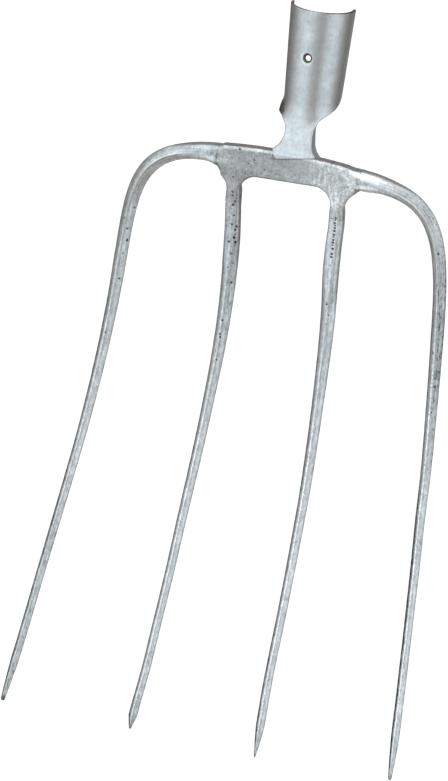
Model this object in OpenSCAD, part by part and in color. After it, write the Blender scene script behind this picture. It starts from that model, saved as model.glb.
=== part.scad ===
// Head of a four-tine hay fork: an open rolled socket with its neck, a forged
// bridge, four drawn tines, and the dressed welds that join them.
// Millimetres. The origin is the centre of the socket's mouth on the handle's
// axis, +Z points up the handle, -Y is the front, turned to the user, -X is the
// left, and the tines hang down along -Z.

/* [Socket] */
// Outside diameter of the socket at its mouth
mouth_od = 39.5; // [39.2:0.1:41]
// Radius of the straight handle seat just inside the mouth
seat_r = 18; // [17.6:0.05:18.2]
// Length of the straight handle seat
seat_len = 12; // [8:1:16]
// Wall of the rolled sheet below the seat
wall = 2.1; // [1.9:0.1:2.5]
// Taper of the socket, half angle in degrees
taper = 2.4; // [2:0.1:3]
// Angle that the rolled sheet turns to the left of its front line
wrap_left = 84; // [80:1:110]
// Angle that the rolled sheet turns to the right of its front line
wrap_right = 106; // [95:1:115]
// Radius of the nail hole in the front wall
nail_r = 2.3; // [1.8:0.1:2.8]
// Distance from the mouth down to the nail hole
nail_drop = 29.5; // [24:0.5:36]

/* [Neck] */
// Width of the neck at its narrowest
neck_w = 18; // [15:0.1:20]
// Thickness of the neck where it stands on the bridge
neck_t = 8.3; // [7:0.1:9]
// Width of the flared foot of the neck
foot_w = 26; // [23:0.1:28]

/* [Head] */
// Distance from the mouth down to the middle of the bridge
head_drop = 97.3; // [95:0.1:100]
// Distance that the bridge stands forward of the handle's axis
head_fwd = 19.2; // [18.5:0.1:20]
// Sideways set of the head from the handle's axis
head_side = -3.6; // [-4.5:0.1:4.5]
// Height of the bridge at its middle
bar_h = 17.8; // [17:0.1:18.4]
// Depth of the bridge, front to back
bar_d = 8.5; // [7.5:0.1:9]
// Width of the bevel along the bridge's top edges
bevel = 2.2; // [1:0.1:2.6]
// Half length of the bridge, up to the shoulder welds
bar_half = 44.7; // [44:0.1:45.5]

/* [Tines] */
// Length of an outer tine, measured down the side curve
outer_len = 363; // [320:1:380]
// Length of an inner tine, measured down the side curve
inner_len = 363; // [320:1:380]
// Half spacing of the outer tines at the shoulders
outer_x = 103.7; // [100:0.1:108]
// Half spacing of the inner tines at the bridge
inner_x = 32.9; // [32.5:0.1:33.3]
// Lean of the tines towards the back below the bridge, degrees
lean = 5.9; // [4:0.1:7]
// Forward sweep of the tines near their points, degrees
sweep = 16.2; // [12:0.1:20]
// Depth of a tine over its width
ridge = 0.9; // [0.8:0.01:1]
// How far the inner tines' sides are drawn in towards the back near their roots, as a share of their width
draw = 0.42; // [0:0.01:0.5]

/* [Welds] */
// Length of each dressed butt weld
weld_len = 2.6; // [2:0.1:3]
// Height that the dressed welds stand proud
crown = 0.12; // [0:0.01:0.25]

/* [Hidden] */
$fn = 96;

head = [head_side, -head_fwd, -head_drop];
bar_mid = 0.4;         // middle of the bar's height above the head's centre
root_l = 26;           // level of the inner tines' root welds
arch_l = 84;           // level where an outer arch meets its leg

// ---- general helpers
function mix(from, to, t) = from + (to - from) * t;
function ease(t) = let (c = min(1, max(0, t))) c * c * (3 - 2 * c);

// Skin over a list of rings that all have the same number of points
module loft(rings) {
    count = len(rings[0]);
    last = len(rings) - 1;
    polyhedron(
        points = [for (ring = rings) each ring],
        faces = concat(
            [[for (j = [0 : count - 1]) j]],
            [for (i = [0 : last - 1], j = [0 : count - 1])
                let (k = (j + 1) % count, base = i * count, next = base + count)
                each [[base + j, next + k, base + k], [base + j, next + j, next + k]]],
            [[for (j = [count - 1 : -1 : 0]) last * count + j]]),
        convexity = 6);
}

// Places a piece of the head, or its mirror image about the head's middle
module in_head(left = false) {
    translate(head) mirror([left ? 1 : 0, 0, 0]) children();
}

// ---- side curve shared by the tines. A level is a length down this curve.
bend_start = 45;
bend_end = 214;
bend_r = (bend_end - bend_start) / ((lean + sweep) * PI / 180);

// Lean towards the back at a level, in degrees
function side_angle(level) = level < bend_start ? lean : level > bend_end ? -sweep
    : lean - (level - bend_start) / (bend_end - bend_start) * (lean + sweep);

// [y, z] at a level, from the head's centre
function side_at(level) = let (angle = side_angle(level))
    level < bend_start ? level * [sin(lean), -cos(lean)]
    : level <= bend_end ? side_at_lean(bend_start)
        + bend_r * [cos(angle) - cos(lean), sin(angle) - sin(lean)]
    : side_at(bend_end) - (level - bend_end) * [sin(sweep), cos(sweep)];
function side_at_lean(level) = level * [sin(lean), -cos(lean)];

// ---- tine tables; x is measured outwards from the head's middle
// Even spread: [half spacing, start level, reach, and the linear, square and
// cubic terms of the growth over the reach]
outer_spread = [outer_x, 80, 270, 14.6, 14.8, -6.9];
inner_spread = [inner_x, 30, 320, 0.9, 15.6, -9.3];

// Each tine: [spread, length, size against the common width,
//   point: [length of its taper, share of the width left at the tip],
//   wander from the even spread: [amount outwards, middle level, reach along the tine],
//   arch: [start level, first handle outwards and down, last handle's reach]]
outer_left = [outer_spread, outer_len + 3, 0.99, [30, 0.5],
    [[0.4, 165, 70], [-0.5, 325, 35]],
    [0.2, 51, 3.6, 56.3]];
outer_right = [outer_spread, outer_len - 6, 0.98, [30, 0.42],
    [[-0.3, 130, 45], [-0.55, 200, 22], [0.35, 310, 60]],
    [-1.8, 53, 1.4, 63]];
inner_left = [inner_spread, inner_len + 1, 1, [17, 0.62],
    [[0.8, 28, 14], [-0.95, 108, 50], [-0.45, 265, 30], [2, 362, 26]]];
inner_right = [inner_spread, inner_len - 0.5, 1.01, [30, 0.22],
    [[0.5, 27, 12], [-0.85, 62, 22], [0.35, 205, 42], [-1, 314, 34]]];

function spread_of(tine) = tine[0];
function length_of(tine) = tine[1];
function size_of(tine) = tine[2];
function point_of(tine) = tine[3];
function wander_of(tine) = tine[4];
function arch_of(tine) = tine[5];

// ---- path of a tine, as [x, level]
function wander(tine, level) =
    [for (w = wander_of(tine)) w[0] * exp(-pow((level - w[1]) / w[2], 2))]
    * [for (w = wander_of(tine)) 1];
function tine_x(tine, level) =
    let (s = spread_of(tine), t = max(0, level - s[1]) / s[2])
    s[0] + t * (s[3] + t * (s[4] + t * s[5])) + wander(tine, level);
function leg_heading(tine, level) = [tine_x(tine, level + 1) - tine_x(tine, level - 1), 2];

// Centre line of an outer arch, a cubic from the shoulder weld to the leg
function arch_at(tine, t) =
    let (arch = arch_of(tine), r = 1 - t,
         start = [bar_half, arch[0]],
         handle_1 = start + [arch[1], arch[2]],
         end = [tine_x(tine, arch_l), arch_l],
         handle_2 = end - arch[3] * leg_heading(tine, arch_l) / 2)
    r*r*r * start + 3*r*r*t * handle_1 + 3*r*t*t * handle_2 + t*t*t * end;
function arch_heading(tine, t) = t == 0 ? [1, 0]
    : arch_at(tine, t + 0.01) - arch_at(tine, t - 0.01);
// Value of t at the lower end of the shoulder weld, from the arch's speed at its start
function arch_weld_t(tine) = let (arch = arch_of(tine)) weld_len / (3 * norm([arch[1], arch[2]]));

// ---- sections of a tine
ring_count = 24;
tip_round = 1.8;       // length of the rounding at the very tip

// Common width of the tines: a slender end, swelling upwards from level 330
function common_w(level) = 5.5 + 4.1 * pow(max(0, 330 - level) / 290, 1.9);
// Slight waist of the inner tines close below the bridge
function root_waist(level) = 1 - 0.15 * exp(-pow((level - 28) / 22, 2));
function arch_w(tine, t) = mix(10.9 - 1.1 * ease(t / 0.18), common_w(arch_l) * size_of(tine),
    ease((t - 0.35) / 0.65));
// Superellipse power: squarish at the welded roots, ridged further down
function section_power(dist) = mix(5, 1.75, ease(dist / 45));
// Share that an inner tine's sides are drawn in, at a distance below its root
function draw_at(dist) = draw * ease(dist / 14) * (1 - 0.8 * ease((dist - 45) / 90));

// Share of the width that is left as the tine closes to its point
function point_share(tine, level) =
    let (left = length_of(tine) - level, tip = point_of(tine),
         k = min(1, left / tip[0]), q = min(1, left / tip_round))
    (tip[1] + (1 - tip[1]) * (1 - pow(1 - k, 1.6))) * (0.35 + 0.65 * sqrt(1 - (1 - q) * (1 - q)));

// Levels below a start down to the tip, closing up towards the tip
function levels(start, tip, count) = concat(
    [for (i = [1 : count]) mix(start, tip - tip_round, 1 - pow(1 - i / count, 1.25))],
    [tip - 1.2, tip - 0.7, tip - 0.3, tip]);

// One superellipse in the plane across the path at place = [x, level], its
// sides drawn in towards the back by the share drawn
function ring(place, heading, width, depth, power, drawn = 0) =
    let (unit = heading / norm(heading),
         angle = side_angle(place[1]),
         side = side_at(place[1]),
         centre = [place[0], side[0], side[1]],
         down = [0, sin(angle), -cos(angle)],
         across = [unit[1], 0, 0] - unit[0] * down,
         front = [0, -cos(angle), -sin(angle)])
    [for (i = [0 : ring_count - 1])
        let (turn = 360 * (i + 0.5) / ring_count,
             u = sign(cos(turn)) * pow(abs(cos(turn)), 2 / power),
             v = sign(sin(turn)) * pow(abs(sin(turn)), 2 / power))
        centre + across * (width / 2 * u * (1 - drawn * pow(max(0, -v), 1.5)))
            + front * (depth / 2 * v)];

// Rings of the arch, the outer leg and the inner tine. The lift adds to the
// width and depth for a weld's crown.
function arch_ring(tine, t, lift = 0) = let (width = arch_w(tine, t))
    ring(arch_at(tine, t), arch_heading(tine, t), width + lift,
         mix(bar_d, width * ridge, ease(t * 2)) + lift, section_power(t * 95));

function leg_ring(tine, level) =
    let (width = common_w(level) * size_of(tine) * point_share(tine, level))
    ring([tine_x(tine, level), level], leg_heading(tine, level), width, width * ridge, 1.75);

function inner_ring(tine, level, lift = 0, share = 1) =
    let (dist = level - root_l, drawn = draw_at(dist),
         width = common_w(level) * size_of(tine) * root_waist(level) * share)
    ring([tine_x(tine, level), level], leg_heading(tine, level),
         width * (1 + 0.22 * drawn) + lift,
         mix(bar_d, width * ridge, ease(dist / 50)) + lift, section_power(dist), drawn);

module outer_tine(tine) {
    arch_steps = 34;
    leg_steps = 38;
    loft(concat(
        [for (i = [0 : arch_steps]) arch_ring(tine, mix(arch_weld_t(tine), 1, i / arch_steps))],
        [for (level = levels(arch_l, length_of(tine), leg_steps)) leg_ring(tine, level)]));
}

module inner_tine(tine) {
    steps = 52;
    start = root_l + weld_len;
    loft([for (level = concat([start], levels(start, length_of(tine), steps)))
        inner_ring(tine, level, share = point_share(tine, level))]);
}

// ---- dressed butt welds, which swell to the crown at mid length
weld_steps = 4;
function weld_lift(i) = 2 * crown * sin(180 * i / weld_steps);

// Fills the gap between the bridge's end and an outer arch
module shoulder_weld(tine) {
    loft([for (i = [0 : weld_steps])
        arch_ring(tine, arch_weld_t(tine) * i / weld_steps, weld_lift(i))]);
}

// Fills the gap between the bridge's stub and an inner tine
module root_weld(tine) {
    loft([for (i = [0 : weld_steps])
        inner_ring(tine, root_l + i / weld_steps * weld_len, weld_lift(i))]);
}

// ---- bridge
bar_top_r = 400;       // crown radius of the bridge's top
bar_tilt = 1.1;        // degrees that the top rises to the right

// Metal left in a bay's upper corner, rounded against the stub at stub_x.
// The side is 1 when the bay lies to the stub's right, -1 to its left.
module round_corner(stub_x, top, radius, side, above) {
    centre_x = stub_x + side * radius;
    difference() {
        translate([side > 0 ? stub_x - 1 : centre_x, top - radius])
            square([radius + 1, radius + above]);
        translate([centre_x, top - radius]) circle(radius);
    }
}

// Outline of the bridge below its crown, in the plane of the head
module bridge_outline() {
    low = bar_mid - bar_h / 2;
    low_left = low - 1.5;            // the bar's lower edge rises to the right
    low_right = low + 1.3;
    left_near = inner_x - 3.3;       // sides of the stubs, near and far from the middle
    left_far = inner_x + 4.7;
    right_near = inner_x - 3.5;
    right_far = inner_x + 4.3;
    stub_end = -root_l;
    cut_end = stub_end - 1;
    middle_r = 11;
    outer_r = 12;
    outer_low = -4.2;                // top of the right outer bay
    difference() {
        translate([-bar_half, stub_end]) square([2 * bar_half, bar_h / 2 + 3 - stub_end]);
        // middle bay, with a round corner at each inner tine
        difference() {
            polygon([[-left_near, cut_end], [right_near, cut_end],
                     [right_near, low_right], [-left_near, low_left]]);
            round_corner(-left_near, low_left, middle_r, 1, above = 2);
            round_corner(right_near, low_right, middle_r, -1, above = 2);
        }
        // right outer bay, with a round corner
        difference() {
            translate([right_far, cut_end])
                square([bar_half - right_far + 1, outer_low - cut_end]);
            round_corner(right_far, outer_low, outer_r, 1, above = 1);
        }
        // left outer bay, with a straight cut across its corner
        polygon([[-bar_half - 1, cut_end], [-left_far, cut_end], [-left_far, -17.6],
                 [-left_far - 0.6, -15.8], [-bar_half + 0.2, -7], [-bar_half - 1, -7]]);
    }
}

// Round slab whose rim is the bridge's crowned and bevelled top
module crown_slab() {
    half = bar_d / 2;
    flat = half - bevel * 0.8;
    inner_r = bar_top_r - 60;
    rotate([0, -bar_tilt, 0]) translate([0, 0, bar_mid + bar_h / 2 - bar_top_r])
        rotate([90, 0, 0]) rotate_extrude($fn = 720)
            polygon([[inner_r, -half], [bar_top_r - bevel, -half], [bar_top_r, -flat],
                     [bar_top_r, flat], [bar_top_r - bevel, half], [inner_r, half]]);
}

module bridge() {
    color("slategray") translate(head) rotate([lean, 0, 0])
        intersection() {
            rotate([90, 0, 0]) translate([0, 0, -bar_d / 2 - 1])
                linear_extrude(bar_d + 2) bridge_outline();
            crown_slab();
        }
}

// ---- neck and socket: the sheet turns from a flat strap into a tube.
// Here z is the height above the bridge's middle. The strap's edges spread
// again above its waist, then sweep round the tube, low on the left, where
// they end in an ear, and higher on the right.
neck_z = 10.2;         // bottom of the neck
waist_z = 22.5;        // narrowest level of the strap
barrel_z = 50;         // bottom of the round barrel

// Each side: [wrap angle, flattening of the bend below the barrel,
//   flare of the strap above its waist, start and rise of the sweep round the tube]
left_side = [wrap_left, 4.4, 0.14, 28.8, 2.6];
right_side = [wrap_right, 1.6, 0.05, 29, 14];

function barrel_r(z) = mouth_od / 2 - (head_drop - z) * tan(taper);
// Radius to which the sheet is bent
function bend_at(z, ear) = z >= barrel_z ? barrel_r(z)
    : barrel_r(z) + ear * pow(max(0, (40 - z) / 8.5), 1.6) + 12 * pow(max(0, (28 - z) / 2), 3);
// y of the sheet's front line
function front_at(z) = z >= barrel_z ? -barrel_r(z)
    : mix(-head_fwd - 2.3, -barrel_r(z), ease((z - 6) / 34));
function thick_at(z) = mix(neck_t, wall, ease((z - 16) / 22));
// Half width of the strap
function strap_at(z, flare = 0) = neck_w / 2 + (z > waist_z ? flare * pow(z - waist_z, 2)
    : (foot_w - neck_w) / 2 * pow((waist_z - z) / (waist_z - neck_z), 3.3));

// [angle, radius] of one side's bend
function side_bend(z, side) =
    let (radius = bend_at(z, side[1]),
         full = barrel_r(z) * side[0] * PI / 180,
         k = max(0, z - side[3]) / side[4],
         arc = mix(min(strap_at(z, side[2]), full), full, 1 - exp(-1.4 * k * k)))
    [arc / radius * 180 / PI, radius];

// Section of the sheet: its outer face from left to right, then its inner face back
function sheet(z) =
    let (left = side_bend(z, left_side), right = side_bend(z, right_side), n = 12,
         bends = concat([for (i = [n : -1 : 1]) [-left[0] * i / n, left[1]]],
                        [for (i = [0 : n]) [right[0] * i / n, right[1]]]))
    concat([for (bend = bends) sheet_point(z, bend, 0)],
           [for (i = [len(bends) - 1 : -1 : 0]) sheet_point(z, bends[i], thick_at(z))]);
function sheet_point(z, bend, inset) = let (r = bend[1] - inset)
    [r * sin(bend[0]), front_at(z) + bend[1] - r * cos(bend[0]), z - head_drop];

module socket() {
    steps = 40;
    over = 3;            // rough height above the mouth, trimmed off flat
    step_in = 1.1;       // narrowing below the seat, and its length
    step_len = 4;
    sink = 1.6;          // widening of the nail hole's countersink
    color("silver") difference() {
        loft(concat([for (i = [0 : steps]) sheet(mix(neck_z, barrel_z, i / steps))],
                    [sheet(head_drop + over)]));
        // flat mouth, and the straight handle seat, running out into the tapered bore
        rotate_extrude()
            polygon([[0, 9], [60, 9], [60, 0], [seat_r, 0], [seat_r, -seat_len],
                     [seat_r - step_in, -seat_len - step_len], [0, -seat_len - step_len]]);
        // nail hole, countersunk from the outside
        translate([0, 0, -nail_drop]) rotate([90, 0, 0]) cylinder(r = nail_r, h = 60);
        translate([0, -barrel_r(head_drop - nail_drop) - 0.5, -nail_drop]) rotate([-90, 0, 0])
            cylinder(r1 = nail_r + sink, r2 = nail_r, h = 1.3);
    }
}

// Chamfered block that spreads downwards from the neck's foot to the bridge's top
module weld_neck() {
    low = 6.2;
    steps = 8;
    chamfer = 0.8;
    color("darkgray") difference() {
        loft([for (i = [0 : steps])
            let (k = i / steps,
                 z = mix(low, neck_z, k) - head_drop,
                 w = strap_at(neck_z) + mix(1.3, 0, ease(k)),
                 front = front_at(neck_z) - mix(1.7, 0, k),
                 back = front_at(neck_z) + neck_t + mix(0.6, 0, k))
            [[-w, front + chamfer, z], [-w + chamfer, front, z],
             [w - chamfer, front, z], [w, front + chamfer, z],
             [w, back - chamfer, z], [w - chamfer, back, z],
             [-w + chamfer, back, z], [-w, back - chamfer, z]]]);
        translate(head) rotate([lean, 0, 0]) crown_slab();
    }
}

// ---- welds and tines in place
module weld_shoulder_left() color("gainsboro") in_head(left = true) shoulder_weld(outer_left);
module weld_shoulder_right() color("gainsboro") in_head() shoulder_weld(outer_right);
module weld_root_left() color("gainsboro") in_head(left = true) root_weld(inner_left);
module weld_root_right() color("gainsboro") in_head() root_weld(inner_right);
module tine_outer_left() color("lightslategray") in_head(left = true) outer_tine(outer_left);
module tine_inner_left() color("lightslategray") in_head(left = true) inner_tine(inner_left);
module tine_inner_right() color("lightslategray") in_head() inner_tine(inner_right);
module tine_outer_right() color("lightslategray") in_head() outer_tine(outer_right);

socket();
weld_neck();
bridge();
weld_shoulder_left();
weld_shoulder_right();
weld_root_left();
weld_root_right();
tine_outer_left();
tine_inner_left();
tine_inner_right();
tine_outer_right();
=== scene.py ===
"""The steel head of a four-tined fork: a rolled socket, its neck, a bridge and four tines.

The origin is the middle of the socket's mouth and the socket runs down the Z axis. The tines
point down (-Z), the front faces -Y, and left is -X. Lengths are in mm until meshes are made.
Three systems are used besides the world's: "local" axes have their origin at the bridge's
centre and slope with it, a "level" is a distance down the bent sheet the tines lie in, and a
"height" is measured straight up from the bridge's centre.
"""
from itertools import product
from math import cos, hypot, pi, radians, sin, tan
from types import SimpleNamespace

import bmesh
import bpy
import numpy as np
from mathutils import Matrix, Vector


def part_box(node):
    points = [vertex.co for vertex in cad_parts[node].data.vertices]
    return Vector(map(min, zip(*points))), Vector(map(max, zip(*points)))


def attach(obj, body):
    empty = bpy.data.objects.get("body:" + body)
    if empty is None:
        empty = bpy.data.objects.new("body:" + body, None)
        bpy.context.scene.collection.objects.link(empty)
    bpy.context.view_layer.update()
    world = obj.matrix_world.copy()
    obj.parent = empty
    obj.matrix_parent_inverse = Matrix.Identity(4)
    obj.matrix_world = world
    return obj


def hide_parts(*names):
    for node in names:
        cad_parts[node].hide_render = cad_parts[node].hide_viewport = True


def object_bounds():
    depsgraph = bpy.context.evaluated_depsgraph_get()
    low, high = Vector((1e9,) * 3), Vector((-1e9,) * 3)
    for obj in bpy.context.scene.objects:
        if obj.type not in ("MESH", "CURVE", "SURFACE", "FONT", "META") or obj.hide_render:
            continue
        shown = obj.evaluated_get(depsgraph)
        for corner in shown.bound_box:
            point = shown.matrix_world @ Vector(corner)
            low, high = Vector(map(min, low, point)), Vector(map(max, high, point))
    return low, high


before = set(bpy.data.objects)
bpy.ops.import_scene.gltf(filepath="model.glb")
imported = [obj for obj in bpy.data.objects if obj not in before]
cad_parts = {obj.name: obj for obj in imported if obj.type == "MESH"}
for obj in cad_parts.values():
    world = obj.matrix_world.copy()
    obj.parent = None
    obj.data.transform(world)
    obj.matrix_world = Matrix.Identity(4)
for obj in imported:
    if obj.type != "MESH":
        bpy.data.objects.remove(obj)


def plain(box):
    return [[float(c) for c in corner] for corner in box]


cad_box = plain(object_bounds())
MM = 0.001

# ---------------------------------------------------------------- dimensions, mm and degrees
LEAN = 5.9                              # the bridge and tine roots slope back, going down
SWEEP = 16.2                            # the tines' lower ends slope forward
BEND_START, BEND_END = 45.0, 214.0      # levels between which the slope changes
BEND_RADIUS = (BEND_END - BEND_START) / radians(LEAN + SWEEP)
ROOT_LEVEL, ARCH_LEVEL = 26.0, 84.0     # where inner tines begin and outer arches end
WELD_LENGTH = 2.6
BAR_DEPTH, BAR_HEIGHT, BAR_HALF = 8.5, 17.8, 44.7
BAR_MID = 0.4                           # local z of the bridge's middle
BACK_BEVEL = 2.2
OUTER_X, INNER_X = 103.7, 32.9          # the tines' distance from the middle
RIDGE = 0.9                             # a tine's depth over its width
WALL, TAPER, MOUTH_RADIUS = 2.1, 2.4, 19.75
NAIL_RADIUS, NAIL_DROP = 2.3, 29.5
SEAT_RADIUS, SEAT_LENGTH = 18.0, 12.0   # bore below the mouth
NECK_WIDTH, NECK_THICK, FOOT_WIDTH = 18.0, 8.3, 26.0
NECK_HEIGHT, WAIST_HEIGHT = 10.2, 22.5  # the neck's lower end and its narrowest place
FOOT_SLOPE = 0.209                      # the foot's lower edge climbs to the right
WRAP_LEFT, WRAP_RIGHT = 84.0, 106.0     # how far round the barrel the sheet reaches
RING_POINTS = 88
COS_LEAN, SIN_LEAN = cos(radians(LEAN)), sin(radians(LEAN))

bridge_low, bridge_high = [np.array(c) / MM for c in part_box("bridge")]
HEAD = np.array([(bridge_low[0] + bridge_high[0]) / 2,
                 bridge_high[1] - (ROOT_LEVEL * SIN_LEAN + BAR_DEPTH / 2 * COS_LEAN),
                 bridge_low[2] + ROOT_LEVEL * COS_LEAN + BAR_DEPTH / 2 * SIN_LEAN])
DROP, FORWARD = -HEAD[2], -HEAD[1]

# side: -1 left, 1 right; size: width factor; sways: (mm outward, level, spread)
# point: (length of the taper, width left at its end, fullness)
# fine: (first level, last level, ring step)
# crest, lee, drift: strength of the painted highlight on the front crest, painted shade on the left
# flank, changes down the tine
# arch: start (drop of its first point), reach and drop of the first handle, pull (length of the
# second), weld_size (width factor at the weld), powers (section at the weld and below),
# settle (where that change starts and its span), streak and under (tones of the underside)
Tine = Arch = SimpleNamespace
TINES = {
    "outer_left": Tine(
        side=-1, length=367.0, size=0.99, sways=((0.4, 165, 70), (-0.5, 325, 35)),
        point=(30, 0.42, 1.5), fine=((84, 96, 0.4),),
        crest=0.26, lee=0.22, drift=(0, 0.02, -0.10),
        arch=Arch(start=0.2, reach=51, drop=3.6, pull=56.3, weld_size=0.97,
                  powers=(4.0, 1.28), settle=(2, 22), streak=0.45, under=0.16)),
    "inner_left": Tine(
        side=-1, length=365.3, size=1.0,
        sways=((0.8, 28, 14), (-0.95, 108, 50), (-0.45, 265, 30), (2, 362, 26)),
        point=(9, 0.2, 1.12), fine=((28, 58, 0.36), (78, 84, 0.36), (103, 118, 0.36)),
        crest=0.42, lee=0.16, drift=(0, 0, -0.01), arch=None),
    "inner_right": Tine(
        side=1, length=364.4, size=1.01,
        sways=((0.5, 27, 12), (-0.85, 62, 22), (0.35, 205, 42), (-1, 314, 34)),
        point=(21, 0.13, 1.3), fine=((28, 58, 0.34), (79, 90, 0.36)),
        crest=0.52, lee=0.25, drift=(0.03, 0.02, 0), arch=None),
    "outer_right": Tine(
        side=1, length=358.0, size=0.98,
        sways=((-0.3, 130, 45), (-0.55, 200, 22), (0.35, 310, 60)),
        point=(30, 0.37, 1.5), fine=((84, 136, 0.5),),
        crest=0.6, lee=0.42, drift=(0, -0.08, -0.02),
        arch=Arch(start=-1.8, reach=53, drop=1.4, pull=63, weld_size=0.99,
                  powers=(3.6, 1.36), settle=(0, 30), streak=0.8, under=0.24)),
}


# ---------------------------------------------------------------- blends
def mix(a, b, t):
    return a + (b - a) * t


def unit(t):
    return np.clip(t, 0, 1)


def ease(t):
    t = unit(t)
    return t * t * (3 - 2 * t)


def rise(x, start, span):
    """eases from 0 at start to 1 a span further on"""
    return ease((x - start) / span)


def fall(x, start, span):
    return 1 - rise(x, start, span)


def bell(x, centre, width):
    return np.exp(-((x - centre) / width) ** 2)


def smax(a, b, r):
    """maximum with a blend of size r"""
    h = np.maximum(r - np.abs(a - b), 0) / r
    return np.maximum(a, b) + h * h * r * 0.25


def smin(a, b, r):
    return -smax(-a, -b, r)


# ---------------------------------------------------------------- repeatable noise
HASH = np.array([374761393, 668265263, 1103515245])


def perlin(p, seed):
    cell = np.floor(p).astype(np.int64)
    f = p - cell
    blend = f * f * f * (f * (f * 6 - 15) + 10)
    total = 0.0
    for corner in product((0, 1), repeat=3):
        n = ((cell + corner) @ HASH + seed * 974711) & 0xffffffff
        n = ((n ^ (n >> 13)) * 1274126177) & 0xffffffff
        n = ((n ^ (n >> 16)) * 2246822519) & 0xffffffff
        n = n ^ (n >> 15)
        slope = ((n[:, None] >> np.array([0, 10, 20])) & 1023) / 511.5 - 1
        weight = np.where(corner, blend, 1 - blend).prod(1)
        total = total + (slope * (f - corner)).sum(1) * weight
    return total


def noise_of(seed, *columns):
    return perlin(np.stack(np.broadcast_arrays(*columns), 1), seed)


def fbm(p, size, seed):
    """two octaves of noise"""
    return perlin(p / size, seed) + 0.55 * perlin(p / size * 2, seed + 17)


# ---------------------------------------------------------------- centre lines
def slope_at(level):
    """the sheet's slope in radians"""
    bend = unit((level - BEND_START) / (BEND_END - BEND_START))
    return np.radians(LEAN - bend * (LEAN + SWEEP))


def sheet_yz(level):
    slope, sweep = slope_at(level), radians(SWEEP)
    above, below = np.minimum(level, BEND_START), np.maximum(level - BEND_END, 0)
    y = above * SIN_LEAN + BEND_RADIUS * (np.cos(slope) - COS_LEAN) - below * sin(sweep)
    z = -above * COS_LEAN - BEND_RADIUS * (SIN_LEAN - np.sin(slope)) - below * cos(sweep)
    return y, z


def sway(level, tine):
    return sum(amount * bell(level, centre, width) for amount, centre, width in tine.sways)


def outer_x(level, tine):
    t = (level - 80) / 270
    return OUTER_X + t * (14.6 + t * (14.8 - 6.9 * t)) + sway(level, tine)


def inner_x(level, tine):
    t = np.maximum(0, level - 30) / 320
    return INNER_X + t * (0.9 + t * (15.6 - 9.3 * t)) + sway(level, tine)


def arch_points(tine):
    """the Bezier points of an arch, as (distance from the middle, level)"""
    arch = tine.arch
    first = np.array([BAR_HALF, arch.start])
    last = np.array([float(outer_x(ARCH_LEVEL, tine)), ARCH_LEVEL])
    lean = float(outer_x(ARCH_LEVEL + 1, tine) - outer_x(ARCH_LEVEL - 1, tine)) / 2
    return (first, first + np.array([arch.reach, arch.drop]),
            last - arch.pull * np.array([lean, 1]), last)


def arch_at(t, tine):
    t = np.asarray(t, float)[..., None]
    r = 1 - t
    a, b, c, d = arch_points(tine)
    return r ** 3 * a + 3 * r * r * t * b + 3 * r * t * t * c + t ** 3 * d


def arch_slope(t, tine):
    t = np.asarray(t, float)[..., None]
    r = 1 - t
    a, b, c, d = arch_points(tine)
    return 3 * r * r * (b - a) + 6 * r * t * (c - b) + 3 * t * t * (d - c)


def arch_start(tine):
    """the arch parameter where the shoulder weld ends"""
    return WELD_LENGTH / (3 * hypot(tine.arch.reach, tine.arch.drop))


# ---------------------------------------------------------------- tine sections
def width_at(level):
    return 5.5 + 4.1 * (np.maximum(0, 330 - level) / 290) ** 1.9


def point_taper(level, tine):
    length, left_over, fullness = tine.point
    to_end = tine.length - level
    taper = 1 - (1 - unit(to_end / length)) ** fullness
    tip = np.sqrt(1 - (1 - unit(to_end / 1.8)) ** 2)
    return (left_over + (1 - left_over) * taper) * (0.2 + 0.8 * tip)


def arch_section(t, tine):
    """width, depth, power and draw-in; a low power gives a crest, a high one a square"""
    arch = tine.arch
    run = np.maximum(t, 0) * 95
    size = mix(arch.weld_size, tine.size, ease(t * 3))
    width = mix(10.9 - 1.1 * ease(t / 0.18), width_at(ARCH_LEVEL) * size, rise(t, 0.35, 0.65))
    power = mix(mix(*arch.powers, rise(run, *arch.settle)), 1.5, rise(run, 70, 40))
    depth = mix(BAR_DEPTH, width * RIDGE, ease(t * 2))
    return width, depth, power, 0.12 * rise(run, 0, 20)


def inner_section(level, tine, taper=1.0):
    """distance from the middle, width, depth, power and draw-in of an inner tine"""
    run = level - ROOT_LEVEL
    draw = 0.38 * rise(run, -9, 14) * (1 - 0.8 * rise(run, 45, 90))
    width = width_at(level) * tine.size * (1 - 0.15 * bell(level, 28, 22)) * taper
    depth = mix(BAR_DEPTH, width * RIDGE, ease(run / 50))
    power = mix(3.8, 1.5, rise(run, 4, 60))
    return inner_x(level, tine) + tine.side * draw, width * (1 + 0.34 * draw), depth, power, draw


def back_power(run):
    """the backs of the arches stay squarish a little longer"""
    return mix(4.5, 1.5, ease(run / 50))


def corner_swell(x, z):
    """the arches' undersides run down into the bridge's corners"""
    left = 1.35 * bell(x, -45.4, 4.6) * rise(-z, 1.5, 3.5)
    return left + 1.4 * bell(x, 49, 8.5) * rise(-z, 0.5, 3.5)


# ---------------------------------------------------------------- the head as one implicit shape
# Each field is negative inside the metal.
def to_local(p):
    d = p - HEAD
    return (d[:, 0], d[:, 1] * COS_LEAN + d[:, 2] * SIN_LEAN,
            -d[:, 1] * SIN_LEAN + d[:, 2] * COS_LEAN)


def local_direction(x, y, z):
    return np.array([x, y * COS_LEAN - z * SIN_LEAN, y * SIN_LEAN + z * COS_LEAN])


def from_local(x, y, z):
    return local_direction(x, y, z) + HEAD


def barrel_radius(height):
    return MOUTH_RADIUS - (DROP - height) * tan(radians(TAPER))


def foot_edge(x):
    """height of the lower edge of the neck's foot on the bridge's face"""
    return 6.42 + FOOT_SLOPE * x + 0.5 * np.maximum(0, -x - 10) ** 2


def rounded(a, b, r):
    """corner of radius r between the two directions a and b"""
    return np.hypot(np.maximum(a, 0), np.maximum(b, 0)) + np.minimum(np.maximum(a, b), 0) - r


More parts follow.
